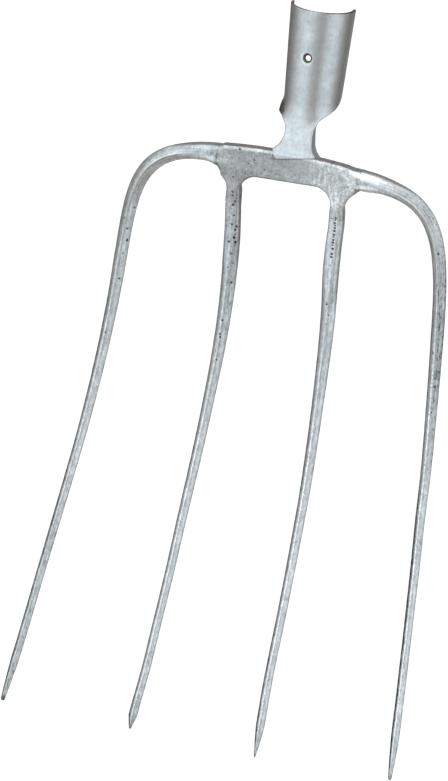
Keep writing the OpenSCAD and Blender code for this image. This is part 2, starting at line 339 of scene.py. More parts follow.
def sheet_half(height, lift, barrel, left):
    """half of the sheet's width, measured round its curve"""
    full = barrel * np.where(left, radians(WRAP_LEFT), radians(WRAP_RIGHT))
    spread = np.maximum(0, WAIST_HEIGHT - np.maximum(lift, NECK_HEIGHT))
    spread = (spread / (WAIST_HEIGHT - NECK_HEIGHT)) ** np.where(left, 3.3, 2.8)
    foot = np.where(left, 1.25, 1.2) * (FOOT_WIDTH - NECK_WIDTH) / 2 * spread
    flare = np.where(left, 0.14, 0.05) * (lift - WAIST_HEIGHT) ** 2
    strap = NECK_WIDTH / 2 + np.where(lift > WAIST_HEIGHT, flare, foot)
    opening = np.maximum(0, lift - np.where(left, 28.8, 29.0)) / np.where(left, 2.6, 14.0)
    half = mix(np.minimum(strap, full), full, 1 - np.exp(-1.4 * opening * opening))
    # the rolled edges are not quite straight
    return half + 0.25 * np.sin(height * 0.21 + np.where(left, 0.4, 2.0)) * rise(height, 40, 20)


def sheet_field(p):
    """the sheet that makes the foot, neck and socket"""
    x, y, z = p[:, 0], p[:, 1], p[:, 2]
    height = z + DROP
    lift = np.maximum(height, 5.0)
    left = x < 0
    barrel = barrel_radius(lift)
    thick = mix(NECK_THICK, WALL, rise(lift, 16, 22))
    front = mix(-FORWARD - 2.3, -barrel, rise(lift, 6, 34)) - 3.05 * ease((19.5 - lift) / 10.5)
    # the curve opens out towards the flat foot
    radius = (barrel + np.where(left, 4.4, 1.6) * (np.maximum(0, 40 - lift) / 8.5) ** 1.6
              + 12 * (np.maximum(0, 31 - lift) / 3.2) ** 3)
    half = sheet_half(height, lift, barrel, left)
    side, inward = np.abs(x), front + radius - y
    middle = radius - thick / 2
    beyond = (np.arctan2(side, inward) - half / radius) * middle
    off = np.abs(np.hypot(side, inward) - middle)
    edge = np.minimum(thick * 0.46, 1.15)
    f = rounded(beyond + edge, off - thick / 2 + edge, edge)
    f = smax(f, z, 0.5)                                   # mouth
    seat = SEAT_RADIUS - 1.1 * unit((-SEAT_LENGTH - z) / 4)
    f = smax(f, -np.maximum(np.hypot(x, y) - seat, -16 - z), 0.25)
    # nail hole with its dished edge
    dish = unit((-barrel_radius(DROP - NAIL_DROP) + 1.3 - y) / 1.3)
    hole = np.hypot(x, z + NAIL_DROP) - (NAIL_RADIUS - 0.55 + 1.35 * dish)
    f = smax(f, -np.maximum(hole, y + 2), 0.5)
    return smax(f, foot_edge(x) - height, 0.3)


def box_field(x, z, centre_x, centre_z, half_x, half_z, r):
    return rounded(np.abs(x - centre_x) - half_x + r, np.abs(z - centre_z) - half_z + r, r)


def section_field(a, b, width, depth, power, draw):
    """superellipse; a runs across, b runs back and the sides draw in towards the back"""
    a = a / (1 - draw * unit(b / (depth / 2)) ** 1.5)
    g = (np.abs(a) / (width / 2)) ** power + (np.abs(b) / (depth / 2)) ** power
    return (np.maximum(g, 1e-9) ** (1 / power) - 1) * 0.5 * np.minimum(width, depth)


def arch_field(x, y, z, tine):
    out, level = tine.side * x, -z
    t = np.clip((out - BAR_HALF) / (3 * tine.arch.reach), -0.25, 0.6)
    for _ in range(4):      # steps to the nearest place on the arch
        c, d = arch_at(t, tine), arch_slope(t, tine)
        along = (out - c[:, 0]) * d[:, 0] + (level - c[:, 1]) * d[:, 1]
        t = np.clip(t + along / (d * d).sum(1), -0.25, 0.8)
    c, d = arch_at(t, tine), arch_slope(t, tine)
    d = d / np.linalg.norm(d, axis=1)[:, None]
    off = (out - c[:, 0]) * d[:, 1] - (level - c[:, 1]) * d[:, 0]
    width, depth, power, draw = arch_section(t, tine)
    back = np.maximum(power, back_power(np.maximum(t, 0) * 95))
    return section_field(off, y, width, depth, np.where(y > 0, back, power), draw)


def root_field(x, y, z, tine):
    centre, *section = inner_section(-z, tine)
    return section_field(tine.side * x - centre, y, *section)


def bar_top(x):
    return BAR_MID + BAR_HEIGHT / 2 - x * x / 800 + x * sin(radians(1.1))


def front_bevel(x):
    """the bevel on the front narrows to the right"""
    return mix(1.5, 1.05, rise(x, -14, 36))


def underside_field(x, y, z):
    """the bridge's lower outline: a gap between the inner tines and one beyond each of them"""
    x = x - 0.3
    low = BAR_MID - BAR_HEIGHT / 2
    gap_left, gap_right = INNER_X - 3.3, INNER_X - 3.5
    leg_left, leg_right = INNER_X + 4.7, INNER_X + 4.3
    low_left, low_right = low - 1.5, low + 1.3
    roof = low_left + (x + gap_left) * ((low_right - low_left) / (gap_left + gap_right))
    middle = box_field(x, z - roof, (gap_right - gap_left) / 2, -50,
                       (gap_right + gap_left) / 2, 50, 11)
    right = box_field(x, z, leg_right + 60.5, -4.8 - 60, 60, 60, 15)
    # the left gap's slanting roof climbs outward from the leg to the bridge's end
    foot_x, foot_z, end_z = leg_left + 1.1, 15.8, 7
    climb, reach = foot_z - end_z, BAR_HALF + 0.5 - foot_x
    slant = ((x + foot_x) * climb + (z + foot_z) * reach) / hypot(climb, reach)
    left = smax(smax(slant, x + leg_left + 0.2, 2.5), z + 6.8, 1.2)
    out = smax(smax(-middle, -right, 0.3), -left, 0.3)
    return out - 0.3 + 2.3 * unit((y + BAR_DEPTH / 2 - 1) / (BAR_DEPTH - 1)) ** 1.3


def bar_field(p):
    """the bridge with the beginnings of all four tines"""
    x, y, z = to_local(p)
    top, off = bar_top(x), np.abs(y) - BAR_DEPTH / 2
    bevel = np.where(y < 0, front_bevel(x), BACK_BEVEL)
    bevel = (off + bevel * 0.8) * 0.781 + (z - top) * 0.625
    f = smax(smax(z - top, bevel, 0.35), off, 0.35)
    # the lower edges are rounder than the upper ones
    f = smax(f, underside_field(x, y, z), 1.5)
    root = np.minimum(root_field(x, y, z, TINES["inner_left"]),
                      root_field(x, y, z, TINES["inner_right"]))
    f = mix(f, root, np.where(np.abs(x) < 45, rise(-z, 15, 8), 0))
    legs = smax(smax(f, z + 4.5, 1.5), x - 46.5, 3.0)
    legs = smax(legs, -x - 50, 1.0)
    f = mix(f, arch_field(x, y, z, TINES["outer_left"]), rise(-x, 41.4, 3.2))
    f = mix(f, arch_field(x, y, z, TINES["outer_right"]), rise(x, 35, 9.5))
    return smin(f - corner_swell(x, z), legs, 0.12 + 1.6 * rise(x, 38, 4))


def head_field(p):
    height = p[:, 2] + DROP
    high, low = height > -1.0, height < 17.0
    sheet, bar = np.full(len(p), 9.0), np.full(len(p), 9.0)
    if high.any():
        sheet[high] = sheet_field(p[high])
    if low.any():
        bar[low] = bar_field(p[low])
    both = high & low
    out = np.minimum(sheet, bar)
    out[both] = smin(sheet[both], bar[both], mix(0.25, 2.4, rise(p[both][:, 1], -21.8, 3.5)))
    return out


# ---------------------------------------------------------------- skin of an implicit shape
def lattice(*axes):
    return np.stack(np.meshgrid(*axes, indexing="ij"), -1).reshape(-1, 3)


def sample(field, low, high, size, block=8):
    """field on a grid; blocks far from the surface only get a sign"""
    blocks = np.ceil((high - low) / size / block).astype(int)
    centres = lattice(*[(np.arange(n) + 0.5) * block for n in blocks])
    rough = field(low + centres * size)
    grid = np.full(tuple(blocks * block + 1), 9.0, np.float32)
    signs = np.where(rough < 0, -9.0, 9.0).reshape(tuple(blocks))
    grid[:-1, :-1, :-1] = np.kron(signs, np.ones((block,) * 3))
    near = np.abs(rough) < block * size * 0.87 * 1.5 + 0.6
    base = (centres[near] - block / 2).astype(int)
    within = lattice(*[np.arange(block + 1)] * 3)
    for s in range(0, len(base), 1200):
        at = (base[s:s + 1200, None, :] + within[None]).reshape(-1, 3)
        grid[tuple(at.T)] = field(low + at * size)
    return grid


def surface_cells(grid):
    """a vertex, in grid steps, for each cell the surface crosses, and the quads joining them"""
    inside = grid < 0
    nx, ny, nz = [n - 1 for n in grid.shape]
    count = sum(inside[a:nx + a, b:ny + b, c:nz + c].astype(np.int8)
                for a, b, c in product((0, 1), repeat=3))
    crossed = (count > 0) & (count < 8)
    cells = np.argwhere(crossed)
    index = np.full(crossed.shape, -1, np.int64)
    index[crossed] = np.arange(len(cells))
    total, hits = np.zeros((len(cells), 3)), np.zeros(len(cells))
    quads = []
    for axis in range(3):
        u, v = (axis + 1) % 3, (axis + 2) % 3
        for a, b in product((0, 1), repeat=2):
            step = [0, 0, 0]
            step[u], step[v] = a, b
            p = cells + step
            step[axis] = 1
            q = cells + step
            at_p, at_q = [grid[tuple(c.T)].astype(float) for c in (p, q)]
            m = (at_p < 0) != (at_q < 0)
            t = at_p[m] / (at_p[m] - at_q[m])
            total[m] += p[m] + t[:, None] * (q[m] - p[m])
            hits[m] += 1
        first, second = [slice(1, -1)] * 3, [slice(1, -1)] * 3
        first[axis], second[axis] = slice(0, -1), slice(1, None)
        first, second = inside[tuple(first)], inside[tuple(second)]
        for change, turn in ((first & ~second, 1), (~first & second, -1)):
            edges = np.argwhere(change)
            edges[:, [u, v]] += 1
            corners = []
            for du, dv in ((-1, -1), (0, -1), (0, 0), (-1, 0)):
                cell = edges.copy()
                cell[:, u] += du
                cell[:, v] += dv
                corners.append(index[tuple(cell.T)])
            quads.append(np.stack(corners, 1)[:, ::turn])
    return total / hits[:, None], np.vstack(quads)


def skin(field, low, high, size):
    verts, quads = surface_cells(sample(field, low, high, size))
    verts = low + size * verts
    ends = np.vstack([quads[:, [k, (k + 1) % 4]] for k in range(4)])
    ends = np.vstack([ends, ends[:, ::-1]])
    count = np.bincount(ends[:, 0], minlength=len(verts))
    for step in range(4):
        if step < 3:      # even out the cells, then go back to the surface
            total = np.zeros_like(verts)
            np.add.at(total, ends[:, 0], verts[ends[:, 1]])
            verts = mix(verts, total / count[:, None], 0.5)
        gradient = np.stack([(field(verts + d) - field(verts - d)) / 0.1
                             for d in np.eye(3) * 0.05], 1)
        steep = np.maximum((gradient * gradient).sum(1), 0.05)
        move = gradient * (field(verts) / steep)[:, None]
        length = np.maximum(np.linalg.norm(move, axis=1), 1e-9)
        verts = verts - move * np.minimum(1, 0.5 * size / length)[:, None]
    return verts, quads


def normals_of(verts, quads):
    face = np.cross(verts[quads[:, 2]] - verts[quads[:, 0]], verts[quads[:, 3]] - verts[quads[:, 1]])
    n = np.zeros_like(verts)
    for k in range(4):
        np.add.at(n, quads[:, k], face)
    return n / np.maximum(np.linalg.norm(n, axis=1), 1e-12)[:, None]


# ---------------------------------------------------------------- meshes
def new_mesh(name, verts, quads):
    me = bpy.data.meshes.new(name)
    me.vertices.add(len(verts))
    me.vertices.foreach_set("co", (verts * MM).astype(np.float32).ravel())
    me.loops.add(quads.size)
    me.loops.foreach_set("vertex_index", quads.astype(np.int32).ravel())
    me.polygons.add(len(quads))
    me.polygons.foreach_set("loop_start", np.arange(0, quads.size, 4, dtype=np.int32))
    me.polygons.foreach_set("use_smooth", np.ones(len(quads), bool))
    me.update(calc_edges=True)
    me.validate()
    return me


def points_of(me):
    co = np.empty(len(me.vertices) * 3)
    me.vertices.foreach_get("co", co)
    return co.reshape(-1, 3) / MM


def close_up(bm):
    """tidies a cut mesh: flat caps with sharp rims, split into triangles"""
    bmesh.ops.remove_doubles(bm, verts=bm.verts[:], dist=2e-7)
    loose = [v for v in bm.verts if not v.link_faces]
    if loose:
        bmesh.ops.delete(bm, geom=loose, context="VERTS")
    for f in bm.faces:
        f.smooth = len(f.verts) <= 5
    for e in bm.edges:
        fs = e.link_faces
        e.smooth = not (len(fs) == 2 and (len(fs[0].verts) > 8) != (len(fs[1].verts) > 8))
    big = [f for f in bm.faces if len(f.verts) > 8]
    if big:
        bmesh.ops.triangulate(bm, faces=big, ngon_method="EAR_CLIP")


def clip_mesh(me, planes, name):
    """the part of me inside every plane (point, outward normal), closed with flat caps"""
    bm = bmesh.new()
    bm.from_mesh(me)
    for co, no in planes:
        r = bmesh.ops.bisect_plane(bm, geom=bm.verts[:] + bm.edges[:] + bm.faces[:], dist=1e-8,
                                   plane_co=Vector(co) * MM, plane_no=Vector(no),
                                   clear_outer=True)
        rim = [e for e in r["geom_cut"] if isinstance(e, bmesh.types.BMEdge) and e.is_boundary]
        if rim:
            new = bmesh.ops.contextual_create(bm, geom=rim)
            if not new["faces"]:
                bmesh.ops.holes_fill(bm, edges=rim, sides=0)
    close_up(bm)
    out = bpy.data.meshes.new(name)
    bm.to_mesh(out)
    bm.free()
    return out


def piece(name, me, tone, mat, node):
    """an object with its brightness marks, standing in for a CAD node"""
    attribute = me.attributes.new("tone", "FLOAT", "POINT")
    attribute.data.foreach_set("value", np.asarray(tone, np.float32))
    ob = bpy.data.objects.new(name, me)
    bpy.context.scene.collection.objects.link(ob)
    me.materials.clear()
    me.materials.append(mat)
    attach(ob, "root")
    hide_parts(node)


# ---------------------------------------------------------------- node helpers
def add_node(tree, kind, inputs, **settings):
    """a node; inputs are values, or sockets to link from"""
    node = tree.nodes.new(kind)
    for key, value in settings.items():
        setattr(node, key, value)
    for key, value in inputs.items():
        if isinstance(value, bpy.types.NodeSocket):
            tree.links.new(value, node.inputs[key])
        else:
            node.inputs[key].default_value = value
    return node


def add_math(tree, operation, a, b, clamp=False):
    return add_node(tree, "ShaderNodeMath", {0: a, 1: b},
                    operation=operation, use_clamp=clamp).outputs[0]


def add_ramp(tree, fac, stops, interpolation="LINEAR"):
    """stops are (position, colour), from 0 to 1"""
    node = add_node(tree, "ShaderNodeValToRGB", {"Fac": fac})
    node.color_ramp.interpolation = interpolation
    elements = node.color_ramp.elements
    for position, _ in stops[1:-1]:
        elements.new(position)
    for element, (_, colour) in zip(elements, stops):
        element.color = (*colour, 1)
    return node.outputs["Color"]


# ---------------------------------------------------------------- materials
def steel(name, *, mark, dark, light, shine=None, rough, stretch=(1, 1, 1),
          speckle, patch, grain, streak=0.0):
    """mottled steel; mark, dark, light and shine are its colours from darkest to brightest"""
    m = bpy.data.materials.new(name)
    m.use_nodes = True
    tree = m.node_tree
    bsdf = tree.nodes["Principled BSDF"].inputs
    place = tree.nodes.new("ShaderNodeTexCoord").outputs["Object"]

    def mapping(scale):
        return add_node(tree, "ShaderNodeMapping",
                        {"Vector": place, "Scale": [1000 * s for s in scale]}).outputs[0]

    def noise(vector, scale, detail, roughness, distortion=0.0):
        return add_node(tree, "ShaderNodeTexNoise",
                        {"Scale": scale, "Detail": detail, "Roughness": roughness,
                         "Distortion": distortion, "Vector": vector}).outputs["Fac"]

    def add(a, b, clamp=False):
        return add_math(tree, "ADD", a, b, clamp)

    def times(source, amount):
        return add_math(tree, "MULTIPLY", source, amount)

    def swing(source, amount):
        """noise made to vary about zero"""
        return times(add_math(tree, "SUBTRACT", source, 0.5), amount)

    stretched, even = mapping(stretch), mapping((1, 1, 1))
    big = noise(even, scale=0.11, detail=3, roughness=0.55, distortion=0.4)
    mid = noise(stretched, scale=0.62, detail=4, roughness=0.65, distortion=0.6)
    fine = noise(stretched, scale=1.9, detail=3, roughness=0.7)
    tiny = noise(even, scale=5.5, detail=2, roughness=0.7)
    marks = add_node(tree, "ShaderNodeAttribute", {}, attribute_name="tone").outputs["Fac"]

    # tone: patches + speckle + marks worked into the mesh
    tone = add(swing(big, amount=2.2 * patch), swing(mid, amount=2.0 * speckle))
    tone = add(tone, swing(fine, amount=1.3 * speckle))
    if streak:
        upright = noise(mapping((1, 1, 0.06)), scale=1.4, detail=3, roughness=0.7)
        tone = add(tone, swing(upright, amount=streak))
    tone = add(add(tone, 0.5), marks, clamp=True)
    shine = shine or [min(1, c * 1.12) for c in light]
    colour = add_ramp(tree, tone, [(0, mark), (0.26, dark), (0.74, light), (1, shine)])
    tree.links.new(colour, bsdf["Base Color"])
    bsdf["Metallic"].default_value = 1.0

    # brighter places are smoother
    roughness = add(swing(mid, amount=-0.22), rough)
    roughness = add(roughness, swing(big, amount=-0.16), clamp=True)
    tree.links.new(roughness, bsdf["Roughness"])

    height = add(times(fine, amount=0.9), times(tiny, amount=0.35))
    height = add(height, times(mid, amount=1.2))
    bump = add_node(tree, "ShaderNodeBump",
                    {"Strength": grain, "Distance": 0.00009, "Height": height})
    tree.links.new(bump.outputs["Normal"], bsdf["Normal"])
    return m


BROWN = (0.10, 0.085, 0.065)
TINE_LOOK = dict(mark=(0.07, 0.063, 0.056), dark=(0.40, 0.398, 0.39), light=(0.73, 0.73, 0.73),
                 speckle=0.56, patch=0.15)
ROLLED = steel("rolled_steel", mark=BROWN, dark=(0.46, 0.455, 0.445), light=(0.65, 0.655, 0.66),
               rough=0.30, stretch=(1, 1, 0.6), speckle=0.34, patch=0.22, grain=0.32)
FORGED = steel("forged_steel", mark=(0.08, 0.07, 0.06), dark=(0.345, 0.337, 0.325),
               light=(0.59, 0.578, 0.562), shine=(0.95, 0.95, 0.94), rough=0.40,
               speckle=0.56, patch=0.30, grain=0.8, streak=0.3)
NECK = steel("dressed_neck", mark=BROWN, dark=(0.46, 0.455, 0.45), light=(0.64, 0.645, 0.65),
             rough=0.32, speckle=0.34, patch=0.20, grain=0.5)
WELD = steel("dressed_weld", shine=(0.98, 0.98, 0.98), rough=0.36, stretch=(1, 1, 0.6),
             grain=1.0, **TINE_LOOK)
TINE = steel("tine_steel", shine=(1.0, 1.0, 1.0), rough=0.35, stretch=(1, 1, 0.45),
             grain=1.1, **TINE_LOOK)


# ---------------------------------------------------------------- rings along the tines
def ring_levels(start, end, fine):
    """levels, closer in the fine zones and towards the end"""
    levels, level = [start], start
    while level < end:
        step = min([0.62] + [s for first, last, s in fine if first <= level <= last])
        level += max(min(step, 0.12 + (end - level) * 0.12), 0.06)
        levels.append(min(level, end))
    return np.array(levels)


def tine_rings(tine):
    """centre, across and front vectors and section of each ring, from the weld to the point"""
    if tine.arch:
        t = np.linspace(arch_start(tine), 1, 260)
        c, d = arch_at(t, tine), arch_slope(t, tine)
        lower = ring_levels(ARCH_LEVEL, tine.length, tine.fine)[1:]
        x = np.concatenate([c[:, 0], outer_x(lower, tine)])
        level = np.concatenate([c[:, 1], lower])
        dx = np.concatenate([d[:, 0], outer_x(lower + 1, tine) - outer_x(lower - 1, tine)])
        dl = np.concatenate([d[:, 1], np.full(len(lower), 2.0)])
        width, depth, power, draw = arch_section(t, tine)
        low_width = width_at(lower) * tine.size * point_taper(lower, tine)
        width = np.concatenate([width, low_width])
        depth = np.concatenate([depth, low_width * RIDGE])
        power, draw = [np.concatenate([v, np.full(len(lower), v[-1])]) for v in (power, draw)]
    else:
        level = ring_levels(ROOT_LEVEL + WELD_LENGTH, tine.length, tine.fine)
        x, width, depth, power, draw = inner_section(level, tine, point_taper(level, tine))
        dx = inner_x(level + 1, tine) - inner_x(level - 1, tine)
        dl = np.full(len(level), 2.0)
    y, z = sheet_yz(level)
    slope = slope_at(level)
    length, none = np.hypot(dx, dl), np.zeros(len(level))
    dx, dl = dx / length, dl / length
    down = np.stack([none, np.sin(slope), -np.cos(slope)], 1)
    centre = np.stack([x, y, z], 1)
    run = np.cumsum(np.linalg.norm(np.diff(centre, axis=0), axis=1))
    return SimpleNamespace(
        centre=centre, across=np.stack([dl, none, none], 1) - dx[:, None] * down,
        front=np.stack([none, -np.cos(slope), -np.sin(slope)], 1), width=width, depth=depth,
        power=power, draw=draw, level=level, run=np.concatenate([[0], run]))


RINGS = {name: tine_rings(tine) for name, tine in TINES.items()}


def place(tine, p):
    """from a tine's own right-handed half into the world"""
    return p * (tine.side, 1, 1) + HEAD


def face_point(name, key, target, right):
    """point on the front of a tine, the given mm to the right of its middle;
    key says whether target is a level or a run"""
    tine, rings = TINES[name], RINGS[name]
    out = right * tine.side
    if key == "level" and target < rings.level[0]:      # above the weld, on the bridge's face
        x = tine.side * (float(inner_x(target, tine)) + out)
        return from_local(x, -BAR_DEPTH / 2, -target)
    i = int(np.argmin(np.abs(getattr(rings, key) - target)))
    width, depth, power = rings.width[i] / 2, rings.depth[i] / 2, rings.power[i]
    out = float(np.clip(out, -0.92 * width, 0.92 * width))
    rise_ = depth * (1 - (abs(out) / width) ** power) ** (1 / power)
    return place(tine, rings.centre[i] + rings.across[i] * out + rings.front[i] * rise_)


# ---------------------------------------------------------------- forging marks in the surface
# pits down the tines: level, mm to the right of the middle, radius, depth
TINE_PITS = {
    "inner_left": [
        (22.2, .4, .42, .24), (24.5, .85, .4, .22), (27.8, 2.6, .4, .24), (30.5, 1.1, .45, .26),
        (43, .8, .42, .24), (44.2, 3.5, .45, .28), (46.2, 3.0, .42, .28), (51.2, 2.5, .5, .32),
        (54.5, -.55, .45, .3), (54, 3.4, .5, .34), (80.7, 2.9, .45, .3), (105.5, .5, .42, .3),
        (114.2, .3, .42, .32), (116.2, .6, .42, .32), (37, 2.0, .34, .2), (49, 3.2, .34, .22),
        (62, 1.8, .36, .22), (68, 2.8, .34, .2), (71, .2, .34, .2), (131, .9, .34, .22)],
    "inner_right": [
        (24.9, .75, .40, .38), (26.2, .6, .34, .3), (28.2, .4, .44, .42), (29.6, .35, .36, .34),
        (31.2, .3, .44, .42), (33.4, .25, .46, .44), (35.7, .25, .44, .42), (37.2, .3, .34, .32),
        (39, .35, .46, .44), (41, .35, .46, .46), (42.4, .4, .36, .34), (44.8, .7, .48, .46),
        (48.2, .6, .48, .46), (50.3, .45, .44, .42), (56, .6, .34, .24), (81.2, 0, .42, .32),
        (88, 1.3, .36, .26), (94, .5, .32, .2)],
    "outer_left": [(93.5, 2.4, .42, .28), (129, .6, .34, .2)],
    "outer_right": [(118, 1.6, .4, .26), (134, .9, .36, .2), (97, -.8, .34, .2)],
}
# pits on the arches: arch parameter less 1, mm to the right of the middle, radius, depth
ARCH_PITS = {
    "outer_left": [(-.26, 3.6, .5, .34), (-.15, 2.05, .45, .3), (-.10, 3.2, .55, .42),
                   (-.04, 2.2, .42, .28), (-.2, -.6, .4, .25)],
    "outer_right": [(-.33, 1.4, .45, .3), (-.18, -.6, .4, .26)],
}
# pits on the bridge's front: local x, local z, radius, depth
BAR_PITS = [(-30.6, 6.3, .55, .34), (-24, -2.0, .42, .2), (-20.5, 1.2, .4, .2),
            (-13.8, -3.8, .4, .2), (-44.2, 4.2, .42, .25), (27.5, 2.2, .4, .2),
            (22.5, 4.4, .36, .2), (-33.4, -12.5, .4, .22), (-36.2, 2.1, .36, .2)]


def arch_run(name, t):
    tine = TINES[name]
    path = arch_at(np.linspace(WELD_LENGTH / (3 * tine.arch.reach), t, 60), tine)
    return float(np.linalg.norm(np.diff(path, axis=0), axis=1).sum())


PITS = [(face_point(name, "level", level, right), r * 1.3, deep)
        for name, rows in TINE_PITS.items() for level, right, r, deep in rows]
PITS += [(face_point(name, "run", arch_run(name, 1 + t), right), r * 1.15, deep * 0.9)
         for name, rows in ARCH_PITS.items() for t, right, r, deep in rows]
PITS += [(from_local(x, -BAR_DEPTH / 2, z), r * 1.15, deep) for x, z, r, deep in BAR_PITS]


def pits_at(p):
    d = np.zeros(len(p))
    for centre, radius, deep in PITS:
        m = np.abs(p - centre).max(1) < 3 * radius
        if m.any():
            q = ((p[m] - centre) ** 2).sum(1) / (radius * radius)
            d[m] -= deep * np.exp(-q * q * 0.7)
    return d


def pit_shade(p):
    """0 to 1 with the depth of the pits"""
    return unit(-pits_at(p) / 0.3)


def forged(p):
    """how far the surface stands out from the even shape, in mm"""
    return 0.10 * fbm(p, 9.0, 3) + 0.05 * fbm(p, 3.1, 5) + 0.028 * fbm(p, 1.25, 9)


def join_tone(x, z):
    """the bridge's scale gives way to the brighter tines"""
    level = -z
    inner = np.where(x < 0, -0.10 * fall(level, ROOT_LEVEL + 2, 75),
                     0.14 * fall(level, ROOT_LEVEL, 60))
    return np.select([x < -BAR_HALF, x > BAR_HALF, level > ROOT_LEVEL - 2],
                     [-0.16 * fall(-x, BAR_HALF, 18), -0.08 * fall(x, BAR_HALF, 14), inner], 0.0)


# ---------------------------------------------------------------- tines
def tine_skin(tine, rings):
    """the even surface, with each vertex's place on the tine"""
    count = len(rings.width)
    angle = 2 * np.pi * (np.arange(RING_POINTS) + 0.5) / RING_POINTS
    outward, frontward = np.cos(angle), np.sin(angle)
    power, width, depth = rings.power[:, None], rings.width[:, None], rings.depth[:, None]
    if tine.arch:
        back = np.maximum(power, back_power(rings.run[:, None]))
        power = np.where(frontward < 0, back, power)
    f = depth / 2 * np.sign(frontward) * np.abs(frontward) ** (2 / power)
    a = (width / 2 * np.sign(outward) * np.abs(outward) ** (2 / power)
         * (1 - rings.draw[:, None] * unit(-2 * f / depth) ** 1.5))
    # spread the points evenly round the section
    for i in range(count):
        pa, pf = np.append(a[i], a[i, 0]), np.append(f[i], f[i, 0])
        s = np.concatenate([[0], np.cumsum(np.hypot(np.diff(pa), np.diff(pf)))])
        at = s[-1] * np.arange(RING_POINTS) / RING_POINTS
        a[i], f[i] = np.interp(at, s, pa), np.interp(at, s, pf)
    points = (rings.centre[:, None] + rings.across[:, None] * a[..., None]
              + rings.front[:, None] * f[..., None])
    points = place(tine, points.reshape(-1, 3))
    index = np.arange(count * RING_POINTS).reshape(count, RING_POINTS)
    after = np.roll(index, -1, 1)
    quads = np.stack([index[:-1], index[1:], after[1:], after[:-1]], -1).reshape(-1, 4)
    normals = normals_of(points, quads)
    centres = place(tine, rings.centre.repeat(RING_POINTS, 0))
    if ((points - centres) * normals).sum(1).mean() < 0:      # make the faces look outward
        quads, normals = quads[:, ::-1], -normals
    run = rings.run.repeat(RING_POINTS)
    x, _, z = to_local(points)
    return SimpleNamespace(
        points=points, quads=quads, normals=normals, x=x, z=z, run=run,
        to_end=rings.run[-1] - run, width=rings.width.repeat(RING_POINTS),
        low=rise(run, 90, 60), outward=np.tile(outward, count),
        frontward=np.tile(frontward, count))


def wrap_noise(at, length, turn, seed):
    """noise stretched along the tine; turn is how fine it is round the section"""
    return noise_of(seed, at.run / length, at.outward * turn, at.frontward * turn)


def tine_relief(at, tine):
    relief = forged(at.points) * np.minimum(1, at.width / 7) + pits_at(at.points)
    # small hammer and file marks, longer along the tine than across it
    relief += 0.05 * wrap_noise(at, length=5.5, turn=1.2, seed=31)
    relief += 0.045 * (0.35 + 0.65 * at.low) * wrap_noise(at, length=1.7, turn=2.6, seed=37)
    if tine.arch:
        relief += corner_swell(at.x, at.z)
    return relief * np.minimum(1, at.to_end / 2.0)


def arch_tone(at, tine):
    """streaks of scale under the arch; near the left arch's shoulder a dressed patch, near the right
    one's a painted highlight on a facet
    """
    arch = tine.arch
    streak = (wrap_noise(at, length=14, turn=7, seed=71)
              + 0.7 * wrap_noise(at, length=5, turn=11, seed=73))
    under = unit(-at.outward * 1.6 + 0.1) * (at.frontward > -0.2)
    tone = fall(at.run, 60, 60) * (arch.streak * streak * under + arch.under * under)
    if tine.side < 0:      # bright dressed patch
        return tone + 0.20 * bell(at.x, -52, 10) * bell(at.z, 5, 4)
    # painted highlight on the facet above, then a darker stretch
    facet = unit(at.outward * 2.2) * rise(at.frontward, 0.05, 0.2)
    tone += 0.85 * fall(at.x, 48, 22) * facet
    return tone - (0.15 * rise(at.run, 20, 45) * fall(at.run, 150, 70)
                   * unit(at.outward * 1.5 + 0.2))


def tine_tone(at, tine):
    tone = -0.9 * pit_shade(at.points) ** 0.8
    # a painted highlight runs along the crest; scale stays on the flats and in lines along the tine
    crest = bell(at.outward, 0, 0.17) * (at.frontward > 0)
    spark = np.clip(0.75 + 1.5 * wrap_noise(at, length=1.3, turn=2, seed=53), 0, 1.6)
    lines = (wrap_noise(at, length=26, turn=5.5, seed=61)
             + 0.6 * wrap_noise(at, length=9, turn=9, seed=67))
    crest_highlight = tine.crest * crest * spark * mix(0.35, 1, at.low)
    tone += mix(0.3, 1, ease(at.run / 14)) * (crest_highlight + 0.34 * lines * mix(1.0, 0.6, at.low))
    tone += join_tone(at.x, at.z)
    # painted shade on the flank facing left
    lee = unit(-tine.side * at.outward * 1.7 - 0.15) * tine.lee
    if tine.arch and tine.side > 0:
        lee = lee * rise(at.run, 190, 60)
    tone -= at.low * lee * (1 + 0.6 * wrap_noise(at, length=4, turn=2, seed=79))
    top, middle, bottom = tine.drift
    tone += np.interp(at.run, (0, 60, 120, 200, 300), (top, top, middle, middle, bottom))
    if tine.arch:
        tone += arch_tone(at, tine)
    # darker towards the point
    return tone - 0.16 * ease((40 - at.to_end) / 40) - 0.30 * ease((5 - at.to_end) / 5)


def cap_ends(me):
    """flat caps with sharp rims on both ends of a tine"""
    bm = bmesh.new()
    bm.from_mesh(me)
    bmesh.ops.holes_fill(bm, edges=[e for e in bm.edges if e.is_boundary], sides=0)
    caps = [f for f in bm.faces if len(f.verts) > 8]
    for f in caps:
        f.smooth = False
        for e in f.edges:
            e.smooth = False
    bmesh.ops.triangulate(bm, faces=caps)
    bmesh.ops.recalc_face_normals(bm, faces=bm.faces[:])
    bm.to_mesh(me)
    bm.free()


for name, tine in TINES.items():
    at = tine_skin(tine, RINGS[name])
    verts = at.points + at.normals * tine_relief(at, tine)[:, None]
    me = new_mesh(f"tine_{name}_forging", verts, at.quads)
    cap_ends(me)
    piece(f"tine_{name}_forging", me, tine_tone(at, tine), TINE, f"tine_{name}")


